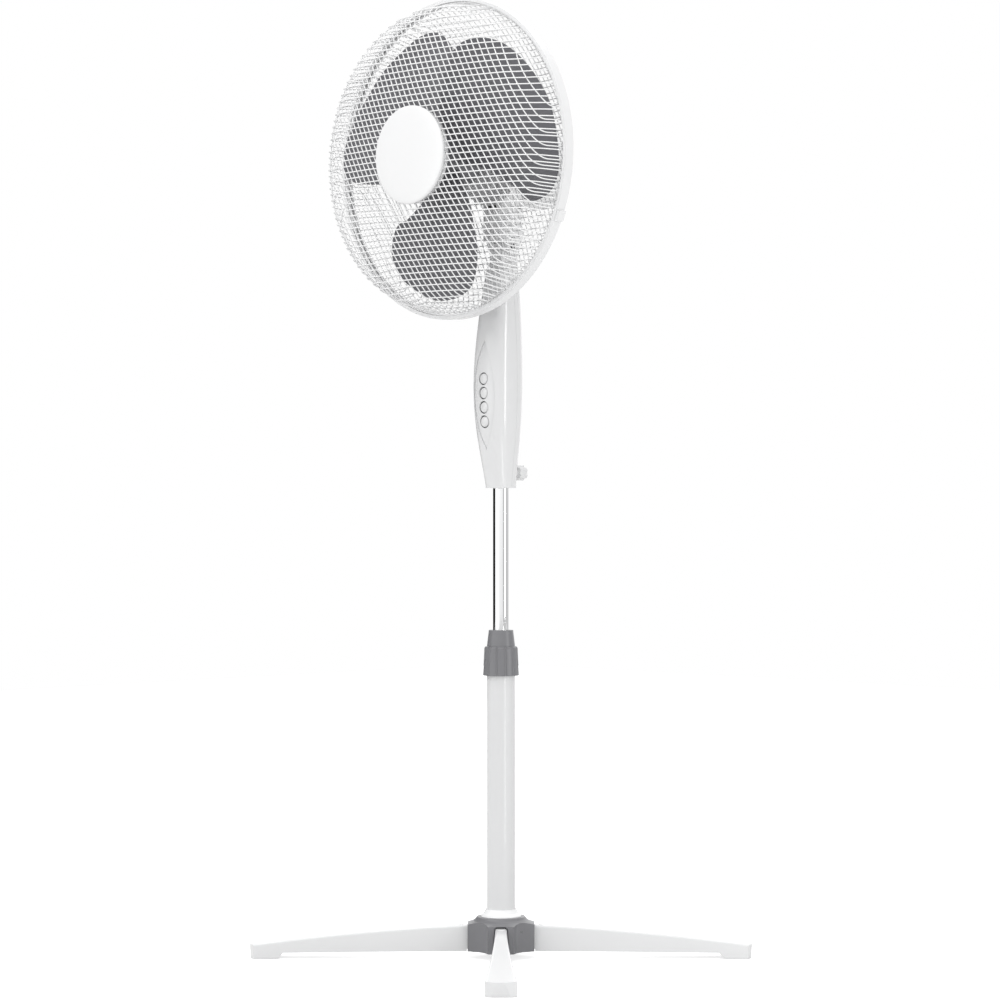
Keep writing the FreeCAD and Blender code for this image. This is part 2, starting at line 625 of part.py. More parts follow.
def motor_front_cover():
    """Front plate with the threaded boss that the rear guard is nutted to."""
    face = HOUSING_FRONT + HOUSING_PLATE
    plate = along_axis(HOUSING_RADIUS, HOUSING_FRONT, face)
    boss = along_axis(18.9, face, face + 15.0)
    shape = fuse_all([plate, boss]).cut(along_axis(6.0, 0, 50))
    hole = fuse_all([along_axis(2.1, 0, face + 1, HOUSING_SCREW_RADIUS),
                     along_axis(3.6, face - 2.1, face + 1, HOUSING_SCREW_RADIUS)])
    return shape.cut(Part.makeCompound([spun(hole, 45 + 90 * i) for i in range(4)]))


def dome_outline(inset):
    """Half section of the motor housing as (radius, front distance) points."""
    radius = HOUSING_RADIUS - inset
    depth = HOUSING_STRAIGHT_END - HOUSING_REAR - inset
    arc = []
    for i in range(9):
        angle = math.radians(90.0 * i / 8)
        arc.append((radius * math.cos(angle), HOUSING_STRAIGHT_END - depth * math.sin(angle)))
    arc[-1] = (0.0, HOUSING_STRAIGHT_END - depth)
    return [(0.0, HOUSING_FRONT - 0.05), (radius, HOUSING_FRONT - 0.05)] + arc


def motor_rear_cover():
    """Deep housing with a swivel mouth below, rear vents and a knob hole."""
    inner = lathe_shaft(dome_outline(HOUSING_WALL))
    inner = inner.fuse(along_axis(HOUSING_RADIUS - HOUSING_WALL, 0, 30))
    shape = lathe_shaft(dome_outline(0)).cut(inner)
    behind_plate = block((-60, 60), (0.05 - HOUSING_FRONT, 60), (960, 1010))
    mouth = pipe(NECK_RADIUS + 1.0, 24.0, NECK_TOP + 1.2, 1000.0, 0, PIVOT_Y).common(behind_plate)
    shape = fuse_all([shape.cut(upright(24.0, 960, 1000, 0, PIVOT_Y)), mouth.cut(inner)])
    bosses = [spun(along_axis(4.6, -8.0, HOUSING_FRONT - 0.05, HOUSING_SCREW_RADIUS + 2.2), 45 + 90 * i)
              for i in range(4)]
    shape = fuse_all([shape] + bosses)
    holes = [spun(along_axis(1.9, -5.0, 30, HOUSING_SCREW_RADIUS), 45 + 90 * i) for i in range(4)]
    shape = shape.cut(Part.makeCompound(holes))
    vents = [block((-24, 24), (60, 110), (AXIS_Z + z - 1.4, AXIS_Z + z + 1.4)) for z in range(-24, 25, 8)]
    shape = shape.cut(Part.makeCompound(vents))
    return shape.cut(upright(3.6, 1060, 1110, GEAR_X, -GEAR_D))


def housing_screws():
    face = HOUSING_FRONT + HOUSING_PLATE
    screw = fuse_all([along_axis(1.8, -4.0, face - 1.9, HOUSING_SCREW_RADIUS),
                      along_axis(3.4, face - 2.0, face - 0.2, HOUSING_SCREW_RADIUS)])
    return Part.makeCompound([spun(screw, 45 + 90 * i) for i in range(4)])


def gearbox_case():
    """Box behind the motor for the worm and its wheel."""
    outer = block((-9, 31), (43.0, 73.0), (1006.0, 1060.0))
    inner = block((-7, 29), (45.0, 71.0), (1008.0, 1058.0))
    shape = outer.cut(inner)
    shape = shape.cut(along_axis(SHAFT_RADIUS + 1.0, -60, -40))
    return shape.cut(upright(3.3, 1000, 1070, GEAR_X, -GEAR_D))


def worm_wheel():
    """Wheel on the upright gear shaft, with notched rim."""
    wheel = upright(10.9, 1031.0, 1040.0, GEAR_X, -GEAR_D)
    notches = []
    for i in range(24):
        angle = math.radians(15 * i)
        notches.append(upright(0.7, 1030.0, 1041.0, GEAR_X + 11.0 * math.cos(angle),
                               -GEAR_D + 11.0 * math.sin(angle)))
    shaft = upright(3.0, 1008.6, 1058.2, GEAR_X, -GEAR_D)
    return fuse_all([wheel.cut(Part.makeCompound(notches)), shaft])


def oscillation_knob():
    """Pull knob above the housing on a stem that reaches the gear shaft."""
    stem = upright(3.0, 1059.0, 1092.0, GEAR_X, -GEAR_D)
    head = upright(8.0, 1091.0, 1105.0, GEAR_X, -GEAR_D)
    rim = [e for e in head.Edges if e.BoundBox.ZMin > 1104.9]
    return fuse_all([stem, head.makeFillet(2.0, rim)])


def crank_disc():
    """Crank below the gearbox, its pin pointing down to the link."""
    disc = upright(16.0, 1000.0, 1004.5, GEAR_X, -GEAR_D)
    hub = upright(3.0, 1004.0, 1008.2, GEAR_X, -GEAR_D)
    pin = upright(2.5, LINK_BOTTOM - 1.0, 1001.0, GEAR_X + CRANK_THROW, -GEAR_D)
    return fuse_all([disc, hub, pin])


def crank_link():
    """Flat strut from the crank's pin to the pin on the neck."""
    start = Vector(GEAR_X + CRANK_THROW, -GEAR_D, LINK_BOTTOM)
    end = Vector(LINK_ARM, PIVOT_Y, LINK_BOTTOM)
    length = start.distanceToPoint(end)
    strut = block((0, length), (-3.0, 3.0), (0, LINK_TOP - LINK_BOTTOM))
    heading = math.degrees(math.atan2(end.y - start.y, end.x - start.x))
    strut.rotate(Vector(0, 0, 0), Vector(0, 0, 1), heading)
    strut.translate(start)
    eyes = [upright(4.3, LINK_BOTTOM, LINK_TOP, start.x, start.y),
            upright(7.6, LINK_BOTTOM, LINK_TOP, end.x, end.y)]
    holes = [upright(2.5 + RUNNING, 980, 1000, start.x, start.y), upright(5.6, 980, 1000, end.x, end.y)]
    return fuse_all([strut] + eyes).cut(Part.makeCompound(holes))


def capacitor():
    return along_axis(7.0, -72.0, -44.0, -28.0)


# ---- guards, cap and impeller ----------------------------------------------------
FRONT_PROFILE = [(203.8, 88.4), (199.4, 88.8), (199.2, 98.0), (197.0, 110.0), (193.0, 124.0),
                 (187.0, 135.0), (178.0, 142.0), (165.0, 146.5), (150.0, 150.0), (100.0, 158.0),
                 (66.0, 161.6), (0.0, 161.6)]
REAR_PROFILE = [(203.8, 83.4), (199.4, 83.0), (198.8, 77.0), (194.0, 67.0), (180.0, 56.0),
                (150.0, 44.5), (100.0, 33.0), (60.0, 25.0), (40.0, 21.6), (0.0, 21.6)]


def guard_skin(profile, thickness):
    """Thin dished sheet beside a (radius, front distance) profile, offset square to it."""
    offset = []
    for i, (radius, distance) in enumerate(profile):
        before = profile[max(i - 1, 0)]
        after = profile[min(i + 1, len(profile) - 1)]
        run = math.hypot(after[0] - before[0], after[1] - before[1])
        across = (after[1] - before[1]) / run * thickness
        along = (after[0] - before[0]) / run * thickness
        offset.append((max(radius + across, 0.0), distance - along))
    offset[-1] = (0.0, offset[-1][1])
    return lathe_shaft(profile + offset[::-1])


def guard_grid(plate_radius, rings):
    """Straight bars across the guard, round plate in the middle and rings."""
    pieces = [along_axis(plate_radius, 0, 200)]
    for i in range(GUARD_BARS):
        bar = block((-220, 220), (-200, 0), (AXIS_Z - GUARD_BAR_WIDTH / 2, AXIS_Z + GUARD_BAR_WIDTH / 2))
        pieces.append(spun(bar, 180.0 / GUARD_BARS * i))
    pieces += [sleeve(outer, inner, 0, 200) for inner, outer in rings]
    return fuse_all(pieces)


def front_guard():
    grid = guard_grid(60.0, [(110, 112.5), (165, 167.5), (197, 205)])
    return guard_skin(FRONT_PROFILE, -GUARD_SKIN).common(grid)


def rear_guard():
    grid = guard_grid(52.0, [(100, 102.5), (150, 152.5), (197, 205)])
    return guard_skin(REAR_PROFILE, GUARD_SKIN).common(grid).cut(along_axis(19.0, 0, 40))


def guard_clamp_ring():
    """Channel-shaped band that holds both guard rims together."""
    inner = RING_RADIUS - 1.7
    lip = RING_RADIUS - 4.5
    return lathe_shaft([(RING_RADIUS, RING_REAR), (RING_RADIUS, RING_FRONT), (lip, RING_FRONT),
                        (lip, RING_FRONT - 1.4), (inner, RING_FRONT - 1.4), (inner, RING_REAR + 1.4),
                        (lip, RING_REAR + 1.4), (lip, RING_REAR)])


def ring_latch():
    """Clip that closes the clamp ring, low on the right seen from the front."""
    bump = block((RING_RADIUS + 0.02, RING_RADIUS + 4.0), (-RING_FRONT + 1, -RING_REAR - 1),
                 (AXIS_Z - 7, AXIS_Z + 7))
    return spun(bump, -24.0)


def rear_guard_nut():
    """Ring nut on the motor's boss, clamping the rear guard."""
    face = HOUSING_FRONT + HOUSING_PLATE
    nut = sleeve(34.0, 19.2, face + 2.7, face + 11.0)
    grips = [spun(along_axis(3.0, 10, 50, 35.5), 30 * i) for i in range(12)]
    return nut.cut(Part.makeCompound(grips))


def front_cap():
    """Plain round badge plate, slightly domed, on the front guard's centre."""
    dish = lathe_shaft([(0, CAP_BACK), (CAP_RADIUS, CAP_BACK), (CAP_RADIUS, CAP_FRONT - 1.0),
                        (CAP_RADIUS - 1.4, CAP_FRONT), (40, CAP_FRONT + 0.8), (0, CAP_FRONT + 1.2)])
    room = lathe_shaft([(0, CAP_BACK - 1), (CAP_RADIUS - 2, CAP_BACK - 1), (CAP_RADIUS - 2, CAP_FRONT - 2.0),
                        (0, CAP_FRONT - 1.2)])
    post = along_axis(6.0, CAP_BACK, CAP_FRONT)
    return fuse_all([dish.cut(room), post])


# Blade outline as (radius, degrees from the blade's centre angle).
BLADE_OUTLINE = [(31.5, -36), (48.1, -33.2), (67.3, -32.6), (111.8, -38.7), (136.2, -43.1),
                 (156.5, -40.0), (174.7, -32.9), (181.3, -22.0), (182.5, -2.1), (181.4, 13.2),
                 (179.8, 27.0), (174.3, 36.8), (159.3, 46.1), (139.6, 52.2), (110.3, 57.3),
                 (86.0, 61.5), (65.0, 66.0), (47.0, 70.0), (31.5, 73.0)]


def blade_depth(radius, angle):
    """Front distance of the cupped, twisted blade surface; angle in radians."""
    reach = radius / BLADE_RADIUS
    side = angle / math.radians(BLADE_SWEEP)
    cup = (17.55 * (side ** 2 - 1) + 12.0 * (side ** 3 - side)) * reach ** 2
    sag = 8.54 * (side ** 2 - 1) * (1 - reach) * reach
    lead = BLADE_LEAD * angle + BLADE_WASH * angle * (reach - 0.7)
    return BLADE_MIDDLE + 7.88 * reach + lead + cup - sag


def blade():
    """Twisted petal: a smooth sheet cut to a rounded outline."""
    rows = []
    for degrees in range(-64, 65, 8):
        angle = math.radians(degrees)
        rows.append([Vector(r * math.cos(angle), BLADE_SKIN / 2 - blade_depth(r, angle),
                            AXIS_Z + r * math.sin(angle)) for r in (20.0, 55.0, 90.0, 125.0, 160.0, 200.0)])
    surface = Part.BSplineSurface()
    surface.interpolate(rows)
    sheet = Part.Face(surface).extrude(Vector(0, -BLADE_SKIN, 0))
    points = [Vector(r * math.cos(math.radians(a)), -40, AXIS_Z + r * math.sin(math.radians(a)))
              for r, a in BLADE_OUTLINE]
    edge = Part.BSplineCurve()
    edge.interpolate(points)
    root = Part.makeLine(points[-1], points[0])
    outline = Part.Face(Part.Wire([edge.toShape(), root])).extrude(Vector(0, -120, 0))
    return sheet.common(outline)


def impeller():
    cup = along_axis(IMPELLER_HUB, 66.0, 130.0).cut(along_axis(IMPELLER_HUB - 2.5, 60.0, 127.0))
    boss = along_axis(9.0, 92.0, 128.0)
    one = blade()
    blades = [spun(one, BLADE_CENTRE + 360.0 / BLADES * i) for i in range(BLADES)]
    shape = fuse_all([cup, boss] + blades)
    return shape.cut(along_axis(SHAFT_RADIUS + 0.02, 50, 150))


def spinner_nut():
    nut = lathe_shaft([(SHAFT_RADIUS + 0.02, 130.1), (15, 130.1), (14, 139), (9, 144.0), (0, 145.0),
                       (0, 141.0), (SHAFT_RADIUS + 0.02, 141.0)])
    grips = [spun(along_axis(2.0, 120, 138, 15.6), 60 * i) for i in range(6)]
    return nut.cut(Part.makeCompound(grips))


# ---- build -------------------------------------------------------------------------
LEG_NAMES = {"leg_rear_right": 45, "leg_rear_left": 135, "leg_front_left": 225, "leg_front_right": 315}


def build():
    for name, angle in LEG_NAMES.items():
        save(name, leg(angle))
    for name, height in BUTTON_HEIGHTS.items():
        save("button_" + name, button(height))
    body = control_body()
    save("control_front_shell", control_front_shell(body))
    save("control_rear_shell", control_rear_shell(body))
    save("front_end_shield", end_shield(8.5, 11.5))
    save("rear_end_shield", end_shield(-41.0, -38.0))
    save("front_bearing", bearing(4.0, 11.5))
    save("rear_bearing", bearing(-41.0, -33.5))
    for make in (foot_pads, base_hub, base_plate, base_screws, tube_socket, base_trim_ring, outer_tube,
                 tube_collet, height_lock_nut, pole_guide_bush, inner_pole, shell_screws, button_panel,
                 switch_block, terminal_block, pole_head_socket, clamp_thumb_screw, cord_inlet_grommet,
                 tilt_base, tilt_bracket, tilt_bolt, swivel_pin, swivel_washer, motor_carrier,
                 stator_core, stator_windings, rotor_core, motor_shaft, motor_front_cover,
                 motor_rear_cover, housing_screws, gearbox_case, worm_wheel, oscillation_knob,
                 crank_disc, crank_link, capacitor, front_guard, rear_guard, guard_clamp_ring,
                 ring_latch, rear_guard_nut, front_cap, impeller, spinner_nut):
        save(make.__name__, make())


build()
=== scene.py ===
import json
import math

import bpy
import numpy as np
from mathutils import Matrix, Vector

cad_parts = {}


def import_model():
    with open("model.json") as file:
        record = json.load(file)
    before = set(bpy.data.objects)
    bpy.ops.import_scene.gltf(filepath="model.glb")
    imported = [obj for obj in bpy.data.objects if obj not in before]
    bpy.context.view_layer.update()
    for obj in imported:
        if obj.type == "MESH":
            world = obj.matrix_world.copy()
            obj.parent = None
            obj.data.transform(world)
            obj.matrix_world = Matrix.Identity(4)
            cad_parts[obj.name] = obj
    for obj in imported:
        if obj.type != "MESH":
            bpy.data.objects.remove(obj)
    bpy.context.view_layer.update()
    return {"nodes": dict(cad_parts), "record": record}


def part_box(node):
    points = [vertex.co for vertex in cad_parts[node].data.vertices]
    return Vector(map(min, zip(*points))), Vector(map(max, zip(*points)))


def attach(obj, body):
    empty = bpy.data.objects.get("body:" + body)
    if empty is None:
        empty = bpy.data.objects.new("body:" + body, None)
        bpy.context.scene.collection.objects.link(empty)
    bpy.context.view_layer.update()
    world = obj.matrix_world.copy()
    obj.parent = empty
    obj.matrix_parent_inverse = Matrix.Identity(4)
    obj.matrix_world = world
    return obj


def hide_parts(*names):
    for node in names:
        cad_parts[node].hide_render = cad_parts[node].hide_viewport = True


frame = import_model()


# ---- measured from the frame ---------------------------------------------
def middle(node):
    low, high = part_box(node)
    return (low + high) / 2


def front(node):
    """Front distance of a node's foremost point: metres from the pole towards -Y."""
    return -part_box(node)[0].y


def back(node):
    """Front distance of a node's rearmost point."""
    return -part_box(node)[1].y


def radius(node):
    """Half the width of a round node on the shaft or the pole."""
    low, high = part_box(node)
    return (high.x - low.x) / 2


AXIS_Z = middle("motor_shaft").z     # height of the shaft; lengths from the frame are in metres
MM = 0.001


# ---- materials -----------------------------------------------------------
def node(tree, kind, **settings):
    """New shader node of a kind, with some of its settings."""
    made = tree.nodes.new(kind)
    for name, value in settings.items():
        setattr(made, name, value)
    return made


def noise(tree, coordinates, scale, detail=3.0, stretch=None):
    """Noise in the object's frame, with about scale cells per metre."""
    source = coordinates
    if stretch:
        mapping = node(tree, "ShaderNodeMapping")
        mapping.inputs["Scale"].default_value = stretch
        tree.links.new(coordinates, mapping.inputs["Vector"])
        source = mapping.outputs["Vector"]
    made = node(tree, "ShaderNodeTexNoise")
    made.inputs["Scale"].default_value = scale
    made.inputs["Detail"].default_value = detail
    tree.links.new(source, made.inputs["Vector"])
    return made.outputs["Fac"]


def ramp(tree, value, stops):
    """Colour ramp through stops of (position, colour)."""
    made = node(tree, "ShaderNodeValToRGB")
    while len(made.color_ramp.elements) < len(stops):
        made.color_ramp.elements.new(0.5)
    for element, (position, colour) in zip(made.color_ramp.elements, stops):
        element.position = position
        element.color = (*colour, 1.0)
    tree.links.new(value, made.inputs["Fac"])
    return made.outputs["Color"]


def shade(colour, factor):
    """Colour made darker or lighter."""
    return tuple(min(1.0, c * factor) for c in colour)


def finish_material(name, colour, roughness, metallic=0.0, coat=0.0, coat_roughness=0.06,
                    vary=0.03, rough_vary=0.05, mottle=14.0, grain=900.0, bump=0.04, depth=0.00005,
                    round_edges=0.0006, stretch=None):
    """A procedural finish: slight colour drift, uneven gloss, a fine relief and softened edges.

    mottle and grain are the scales of drift and relief in cells per metre; depth and
    round_edges are in metres.
    """
    made = bpy.data.materials.new(name)
    made.use_nodes = True
    tree = made.node_tree
    shader = tree.nodes["Principled BSDF"]
    shader.inputs["Metallic"].default_value = metallic
    shader.inputs["Coat Weight"].default_value = coat
    shader.inputs["Coat Roughness"].default_value = coat_roughness
    place = node(tree, "ShaderNodeTexCoord").outputs["Object"]
    drift = noise(tree, place, mottle, 4.0)
    tinted = ramp(tree, drift, [(0.3, shade(colour, 1 - vary)), (0.7, shade(colour, 1 + vary))])
    tree.links.new(tinted, shader.inputs["Base Color"])
    gloss = noise(tree, place, mottle * 3.1, 5.0, stretch)
    low = max(roughness - rough_vary, 0.02)
    high = roughness + rough_vary
    uneven = ramp(tree, gloss, [(0.3, (low,) * 3), (0.7, (high,) * 3)])
    tree.links.new(uneven, shader.inputs["Roughness"])
    relief = node(tree, "ShaderNodeBump")
    relief.inputs["Strength"].default_value = bump
    relief.inputs["Distance"].default_value = depth
    tree.links.new(noise(tree, place, grain, 2.0, stretch), relief.inputs["Height"])
    if round_edges:
        edge = node(tree, "ShaderNodeBevel", samples=4)
        edge.inputs["Radius"].default_value = round_edges
        tree.links.new(edge.outputs["Normal"], relief.inputs["Normal"])
    tree.links.new(relief.outputs["Normal"], shader.inputs["Normal"])
    return made


FINISH = {
    "white_shell": dict(colour=(0.765, 0.768, 0.772), roughness=0.24, vary=0.006, rough_vary=0.012,
                        coat=0.5, coat_roughness=0.13, bump=0.02),
    "white_trim": dict(colour=(0.87, 0.873, 0.877), roughness=0.22, vary=0.006, rough_vary=0.012,
                       coat=0.3, bump=0.02),
    "grey_plastic": dict(colour=(0.192, 0.192, 0.202), roughness=0.32, vary=0.03, grain=1600.0,
                         bump=0.12),
    "blade_plastic": dict(colour=(0.142, 0.142, 0.154), roughness=0.36, vary=0.03, grain=1200.0,
                          bump=0.06),
    "chrome_plate": dict(colour=(0.9, 0.905, 0.91), roughness=0.05, metallic=1.0, rough_vary=0.025,
                         vary=0.01, grain=2500.0, bump=0.01, stretch=(1, 1, 0.05), mottle=30.0),
    "white_enamel": dict(colour=(0.7, 0.703, 0.707), roughness=0.3, vary=0.006, rough_vary=0.015,
                         coat=0.35, bump=0.04, grain=500.0, round_edges=0.0),
    "zinc_steel": dict(colour=(0.6, 0.61, 0.63), roughness=0.34, metallic=1.0, vary=0.08, mottle=60.0,
                       bump=0.08),
    "natural_nylon": dict(colour=(0.72, 0.7, 0.64), roughness=0.45, vary=0.02, bump=0.05),
    "black_rubber": dict(colour=(0.025, 0.025, 0.028), roughness=0.75, vary=0.12, bump=0.25,
                         grain=2000.0),
    "cast_alloy": dict(colour=(0.58, 0.58, 0.6), roughness=0.48, metallic=1.0, vary=0.05, bump=0.3,
                       grain=700.0, depth=0.0002),
    "core_steel": dict(colour=(0.27, 0.27, 0.3), roughness=0.45, metallic=0.8, vary=0.08, bump=0.5,
                       grain=1400.0, stretch=(0.05, 1, 0.05), depth=0.0002),
    "copper_wire": dict(colour=(0.62, 0.27, 0.11), roughness=0.3, metallic=0.7, vary=0.12, bump=0.6,
                        grain=900.0, depth=0.0004),
    "bearing_bronze": dict(colour=(0.62, 0.44, 0.2), roughness=0.5, metallic=1.0, vary=0.06, bump=0.2),
    "black_plastic": dict(colour=(0.03, 0.03, 0.034), roughness=0.4, vary=0.08, bump=0.08),
}
# Finishes of single pieces, brighter than their slot's: painted light, lighter copies that lift the shaded
# sides of the guard wires and the cap.
WIRE_PAINTED_LIGHT_FINISH = dict(colour=(0.96, 0.962, 0.965), roughness=0.3, vary=0.006, coat=0.1, bump=0.03,
                   round_edges=0.0)
CAP_PAINTED_LIGHT_FINISH = dict(colour=(0.9, 0.902, 0.905), roughness=0.3, vary=0.003, rough_vary=0.008, coat=0.3,
                  bump=0.01)
MATERIALS = {name: finish_material(name, **settings) for name, settings in FINISH.items()}
SLOT_OF = {part["node"]: part["material_slot"] for part in frame["record"]["subparts"]}


# ---- mesh helpers --------------------------------------------------------
def add_piece(name, points, faces, slot, body, stands_for=(), smooth=True, material=None):
    """New piece that rides on a body and stands for some CAD nodes."""
    mesh = bpy.data.meshes.new(name)
    mesh.from_pydata([tuple(p) for p in points], [], faces)
    mesh.validate()
    mesh.update()
    if smooth:
        mesh.polygons.foreach_set("use_smooth", [True] * len(mesh.polygons))
    made = bpy.data.objects.new(name, mesh)
    bpy.context.scene.collection.objects.link(made)
    made.data.materials.append(material or MATERIALS[slot])
    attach(made, body)
    if stands_for:
        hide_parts(*stands_for)
    return made


def spline(points, per_span, closed=False):
    """Catmull-Rom curve through the points, per_span steps for each span."""
    points = np.array(points, float)
    count = len(points)
    if closed:
        index = lambda i: points[i % count]
        spans = count
    else:
        head = 2 * points[0] - points[1]
        tail = 2 * points[-1] - points[-2]
        index = lambda i: head if i < 0 else tail if i >= count else points[i]
        spans = count - 1
    out = []
    for i in range(spans):
        a, b, c, d = index(i - 1), index(i), index(i + 1), index(i + 2)
        for k in range(per_span):
            t = k / per_span
            out.append(0.5 * (2 * b + (c - a) * t + (2 * a - 5 * b + 4 * c - d) * t ** 2
                              + (3 * b - a - 3 * c + d) * t ** 3))
    if not closed:
        out.append(points[-1])
    return np.array(out)


def wire_mesh(paths, thickness, sides=6, closed=False):
    """Round wires along the paths, as one list of points and one of faces."""
    points, faces = [], []
    turn = np.arange(sides) * 2 * math.pi / sides
    for path in paths:
        path = np.asarray(path, float)
        count = len(path)
        if closed:
            ahead = np.roll(path, -1, 0) - np.roll(path, 1, 0)
        else:
            ahead = np.gradient(path, axis=0)
        ahead /= np.linalg.norm(ahead, axis=1)[:, None]
        side = np.cross(ahead[0], (0.3, 0.9, 0.2))
        start = len(points)
        for i in range(count):
            side = side - side.dot(ahead[i]) * ahead[i]
            side /= np.linalg.norm(side)
            other = np.cross(ahead[i], side)
            for a in turn:
                points.append(path[i] + thickness / 2 * (math.cos(a) * side + math.sin(a) * other))
        for i in range(count if closed else count - 1):
            j = (i + 1) % count
            for k in range(sides):
                m = (k + 1) % sides
                faces.append((start + i * sides + k, start + i * sides + m,
                              start + j * sides + m, start + j * sides + k))
        if not closed:
            faces.append(tuple(start + k for k in reversed(range(sides))))
            faces.append(tuple(start + (count - 1) * sides + k for k in range(sides)))
    return points, faces


def lathe_mesh(profile, segments=96, height=AXIS_Z):
    """Closed profile of (radius, front distance) in metres, turned about an axis along Y."""
    points, faces, rows = [], [], []
    for r, d in profile:
        if r < 1e-6:
            rows.append([len(points)] * segments)
            points.append((0.0, -d, height))
            continue
        rows.append(list(range(len(points), len(points) + segments)))
        for k in range(segments):
            a = 2 * math.pi * k / segments
            points.append((r * math.cos(a), -d, height + r * math.sin(a)))
    for near, far in zip(rows, rows[1:] + rows[:1]):
        for k in range(segments):
            m = (k + 1) % segments
            corners = []
            for c in (near[k], near[m], far[m], far[k]):
                if c not in corners:
                    corners.append(c)
            if len(corners) > 2:
                faces.append(tuple(corners))
    return points, faces


def in_metres(profile):
    return [(r * MM, d * MM) for r, d in profile]


def join(*parts):
    """One list of points and one of faces from several."""
    points, faces = [], []
    for some, polygons in parts:
        start = len(points)
        points.extend(some)
        faces.extend(tuple(i + start for i in face) for face in polygons)
    return points, faces


def rounded(profile, amount, steps=4):
    """Closed profile with each corner rounded by amount, or less on short sides."""
    profile = [np.array(p, float) for p in profile]
    out = []
    for i, corner in enumerate(profile):
        before, after = profile[i - 1], profile[(i + 1) % len(profile)]
        reach = min(amount, np.linalg.norm(before - corner) * 0.45, np.linalg.norm(after - corner) * 0.45)
        if corner[0] < 1e-6 or reach < 1e-6:
            out.append(tuple(corner))
            continue
        a = corner + (before - corner) / np.linalg.norm(before - corner) * reach
        b = corner + (after - corner) / np.linalg.norm(after - corner) * reach
        for k in range(steps + 1):
            t = k / steps
            out.append(tuple((1 - t) ** 2 * a + 2 * t * (1 - t) * corner + t ** 2 * b))
    return out


# ---- guards --------------------------------------------------------------
# Dish of each guard's wires: (radius, front distance) in millimetres from the middle to the rim.
FRONT_DISH = [(0, 161.6), (66, 161.6), (100, 158), (150, 150), (165, 146.5), (178, 142), (187, 135),
              (193, 124), (197, 110), (199.4, 98), (200.2, 90.5)]
REAR_DISH = [(0, 21.6), (40, 21.6), (60, 25), (100, 33), (150, 44.5), (180, 56), (194, 67),
             (198.8, 77), (200.2, 81.5)]
# Plates in the middle, as closed profiles of the same kind.
FRONT_PLATE = [(0, 161.2), (59, 161.2), (60.2, 160), (60.2, 154), (59.0, 153.8), (58.6, 159.4),
               (0, 159.8)]
REAR_PLATE = [(19.3, 21.8), (40, 21.8), (50, 23.6), (52, 24.6), (51.4, 25.6), (49.4, 24.8),
              (39.6, 23.2), (19.3, 23.2)]
REAR_HOLE = 47.0             # mm, radius left free of wires behind
WIRE = 0.0016                # m
LAYER_SINKS = (0.9, 2.5)     # mm from the dish to the middle of each family's wires
RIM_RADIUS = 200.4           # mm
RIM_WIRE = 0.0034            # m
FRONT_RIM = 89.6             # front distances of the rim wires, mm
REAR_RIM = 82.4
WIRE_PITCH = 8.05            # mm between neighbouring wires
WIRES = 48                   # in each of the two families
FAMILIES = (0.0, -59.0)      # directions, degrees from +X seen from the front
BEND_START = 184.0           # mm, radius where the wires turn towards the rim
BEND_MARGIN = 2.3            # mm that the outermost wires bend later than their own offset
BEND_LENGTH = 26.0           # mm along the dish, or less where the dish ends sooner
WIDEST_GAP = 0.2             # radians; a wider gap between wire ends takes no end
FARTHEST_SHIFT = 0.035       # radians that a wire end moves to land between two others


class Dish:
    """Turned surface that the wires lie on, measured along its meridian."""

    def __init__(self, profile, sink):
        curve = spline(profile, 12)
        run = np.gradient(curve, axis=0)
        run /= np.linalg.norm(run, axis=1)[:, None]
        self.radius = curve[:, 0] + run[:, 1] * sink
        self.depth = curve[:, 1] - run[:, 0] * sink
        steps = np.hypot(np.diff(self.radius), np.diff(self.depth))
        self.along = np.concatenate([[0.0], np.cumsum(steps)])

    def at_radius(self, r):
        """Distance along the dish at a radius."""
        return np.interp(r, self.radius, self.along)

    def place(self, along, angle):
        """Points in metres at distances along the dish and angles round it."""
        r = np.interp(along, self.along, self.radius)
        d = np.interp(along, self.along, self.depth)
        return in_place(r, d, angle)


def in_place(r, d, angle):
    """Points in metres from radius, front distance and angle."""
    return np.stack([r * np.cos(angle), -d, AXIS_Z / MM + r * np.sin(angle)], axis=-1) * MM


def wire_offset(k):
    """Distance of a family's wire from the middle, mm."""
    return (k - (WIRES - 1) / 2) * WIRE_PITCH


def bend(dish, offset):
    """Radius, distance along the dish, lean and slope where a wire leaves its straight line."""
    r = max(BEND_START, abs(offset) + BEND_MARGIN)
    start = dish.at_radius(r)
    lean = math.asin(offset / r)
    fall = np.interp(start + 1, dish.along, dish.radius) - np.interp(start, dish.along, dish.radius)
    return r, start, lean, math.tan(lean) / r * fall


def natural_ends(dish, direction):
    """Where each wire of a family would reach the rim: {(wire, end): angle}."""
    ends = {}
    for k in range(WIRES):
        _, _, lean, slope = bend(dish, wire_offset(k))
        turn = slope * BEND_LENGTH / 3
        ends[k, 1] = math.radians(direction) + lean - turn
        ends[k, -1] = math.radians(direction) + math.pi - lean + turn
    return ends


def wire_ends(dish):
    """Angle at the rim of every wire end; the second family lands between the first's."""
    first, second = (natural_ends(dish, direction) for direction in FAMILIES)
    whole = 2 * math.pi
    marks = sorted(a % whole for a in first.values())
    gaps = [(a + ((b - a) % whole) / 2, (b - a) % whole) for a, b in zip(marks, marks[1:] + marks[:1])]
    taken = set()
    for key, angle in sorted(second.items(), key=lambda e: e[1] % whole):
        free = [i for i in range(len(gaps)) if i not in taken and gaps[i][1] < WIDEST_GAP]
        apart = [abs((gaps[i][0] - angle + math.pi) % whole - math.pi) for i in free]
        nearest = int(np.argmin(apart))
        if apart[nearest] < FARTHEST_SHIFT:
            taken.add(free[nearest])
            second[key] = angle + (gaps[free[nearest]][0] - angle + math.pi) % whole - math.pi
    ends = {(0, *key): angle for key, angle in first.items()}
    ends.update({(1, *key): angle for key, angle in second.items()})
    return ends


